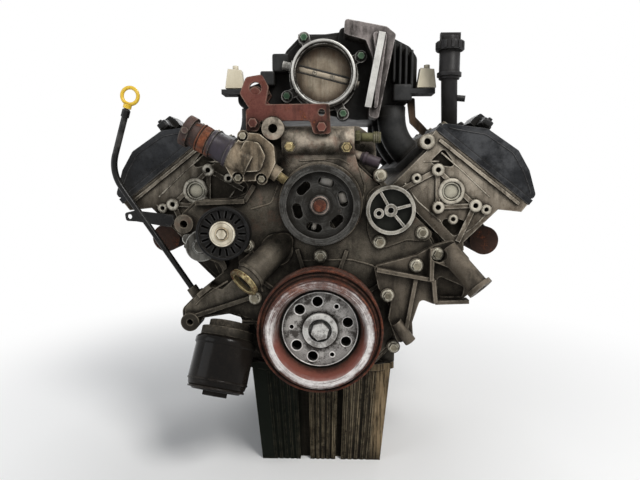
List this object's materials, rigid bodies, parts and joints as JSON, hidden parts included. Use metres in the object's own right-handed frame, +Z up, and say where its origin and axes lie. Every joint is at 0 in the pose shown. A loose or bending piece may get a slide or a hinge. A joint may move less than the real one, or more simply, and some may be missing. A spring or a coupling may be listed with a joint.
{
  "type": "car engine",
  "caption": "V layout car engine with front drive dress: crank damper, water pump and tensioner pulleys, throttle body, oil filter, dipstick and a ribbed sump.",
  "frame": {"origin": "crank axis at the rear face of the flywheel flange", "axes": "+X to the right seen from the front of the engine, +Y to the rear along the crank, +Z up"},
  "size_m": [0.6892, 0.5671, 0.753],
  "materials": {
    "cast_block": "as cast, oily and dirty",
    "bedplate_alloy": "as cast, dull",
    "bearing_metal": "plain bearing shell",
    "machined_steel": "machined, lightly rusted",
    "pan_casting": "as cast, oil stained",
    "gasket": "matt sealing strip",
    "plug_steel": "zinc plated, dulled",
    "cover_alloy": "as cast, oil stained",
    "bolt_steel": "dull steel with rust in the corners",
    "seal_rubber": "matt",
    "head_alloy": "as cast, tan grey with dirt",
    "gasket_steel": "edge of a layered steel gasket",
    "cup_steel": "pressed cup, dulled",
    "cover_plastic": "moulded black plastic with dust",
    "coil_plastic": "moulded black plastic",
    "hub_iron": "machined face, stained and pitted",
    "damper_rubber": "matt",
    "damper_iron": "rusty red brown with a bright worn lip",
    "crank_bolt_steel": "worn steel",
    "pump_alloy": "as cast",
    "rusty_steel": "rusty",
    "pulley_paint": "black paint, worn at the edges",
    "tensioner_alloy": "as cast, brighter on its edges",
    "pulley_plastic": "glass filled black plastic",
    "dust_cap": "cream, dirty",
    "bright_alloy": "die cast, bright",
    "bracket_alloy": "as cast, brown dirt",
    "brass_fitting": "dulled brass",
    "thermostat_alloy": "as cast, tan with coolant stains",
    "neck_rust": "orange brown rust",
    "sensor_body": "olive, dulled",
    "hose_rubber": "dark rubber",
    "lift_rust": "rusty",
    "manifold_plastic": "moulded black plastic",
    "stay_rust": "brown, dirty",
    "throttle_alloy": "machined and cast",
    "green_bolts": "green zinc coating",
    "plate_brass": "tan brown film",
    "shaft_steel": "steel",
    "actuator_alloy": "cast, pinkish grey",
    "clip_steel": "bright strip",
    "cream_plastic": "cream resin",
    "filler_plastic": "moulded black plastic",
    "filter_paint": "black paint",
    "exhaust_iron": "dark rusty iron",
    "tube_paint": "black paint",
    "yellow_plastic": "yellow"
  },
  "bodies": {
    "engine": {"engine_block": "cast_block", "bedplate": "bedplate_alloy", "main_bearings": "bearing_metal", "rear_seal_housing": "bedplate_alloy", "oil_pan": "pan_casting", "oil_pan_gasket": "gasket", "drain_plug": "plug_steel", "front_cover": "cover_alloy", "front_cover_bolts": "bolt_steel", "front_seal": "seal_rubber", "head_left": "head_alloy", "head_right": "head_alloy", "head_gaskets": "gasket_steel", "cam_plug": "cup_steel", "valve_cover_left": "cover_plastic", "valve_cover_right": "cover_plastic", "valve_cover_bolts": "bolt_steel", "coils_left": "coil_plastic", "coils_right": "coil_plastic", "pump_housing": "pump_alloy", "pump_bolts": "bolt_steel", "tensioner_base": "tensioner_alloy", "spoked_cap": "bright_alloy", "accessory_bracket": "bracket_alloy", "bracket_bolts": "bolt_steel", "inlet_pipe": "cover_alloy", "inlet_ring": "brass_fitting", "thermostat_housing": "thermostat_alloy", "outlet_neck": "neck_rust", "heater_fittings": "brass_fitting", "temp_sensor": "sensor_body", "hose_stub": "hose_rubber", "lifting_bracket": "lift_rust", "intake_manifold": "manifold_plastic", "egr_valve": "lift_rust", "manifold_stay": "stay_rust", "throttle_body": "throttle_alloy", "throttle_bolts": "green_bolts", "actuator_housing": "actuator_alloy", "actuator_clip": "clip_steel", "capacitors": "cream_plastic", "filler_neck": "filler_plastic", "filter_adapter": "cover_alloy", "oil_filter": "filter_paint", "exhaust_manifolds": "exhaust_iron", "dipstick_tube": "tube_paint"},
    "crank": {"crankshaft": "machined_steel", "damper_hub": "hub_iron", "damper_rubber": "damper_rubber", "damper_ring": "damper_iron", "crank_bolt": "crank_bolt_steel"},
    "pump": {"pump_rotor": "rusty_steel", "pump_pulley": "pulley_paint"},
    "tensioner_arm": {"tensioner_arm": "tensioner_alloy", "tensioner_cap": "dust_cap"},
    "tensioner_pulley": {"tensioner_pulley": "pulley_plastic"},
    "throttle": {"throttle_plate": "plate_brass", "throttle_shaft": "shaft_steel"},
    "dipstick": {"dipstick": "yellow_plastic"},
    "filler_cap": {"filler_cap": "filler_plastic"}
  },
  "joints": [
    {"name": "crank_spin", "type": "hinge", "parent": "engine", "child": "crank", "pos_m": [0, 0, 0], "axis": [0, 1, 0], "continuous": true},
    {"name": "pump_spin", "type": "hinge", "parent": "engine", "child": "pump", "pos_m": [0, -0.512, 0.195], "axis": [0, 1, 0], "continuous": true},
    {"name": "tensioner_swing", "type": "hinge", "parent": "engine", "child": "tensioner_arm", "pos_m": [-0.188, -0.512, 0.129], "axis": [0, -1, 0], "range_deg": [0, 20], "stiffness_Nm_per_rad": 8, "springref_deg": -2.86},
    {"name": "tensioner_pulley_spin", "type": "hinge", "parent": "tensioner_arm", "child": "tensioner_pulley", "pos_m": [-0.147, -0.512, 0.152], "axis": [0, 1, 0], "continuous": true},
    {"name": "throttle_turn", "type": "hinge", "parent": "engine", "child": "throttle", "pos_m": [0.003, -0.404, 0.405], "axis": [0.9703, 0, -0.2419], "range_deg": [0, 84], "stiffness_Nm_per_rad": 0.3, "springref_deg": -11.46},
    {"name": "dipstick_pull", "type": "slide", "parent": "engine", "child": "dipstick", "axis": [0.2934, 0, 0.956], "range_m": [0, 0.09]},
    {"name": "filler_cap_turn", "type": "hinge", "parent": "engine", "child": "filler_cap", "pos_m": [0.207, -0.424, 0.44], "axis": [0, 0, 1], "range_deg": [0, 90]}
  ]
}
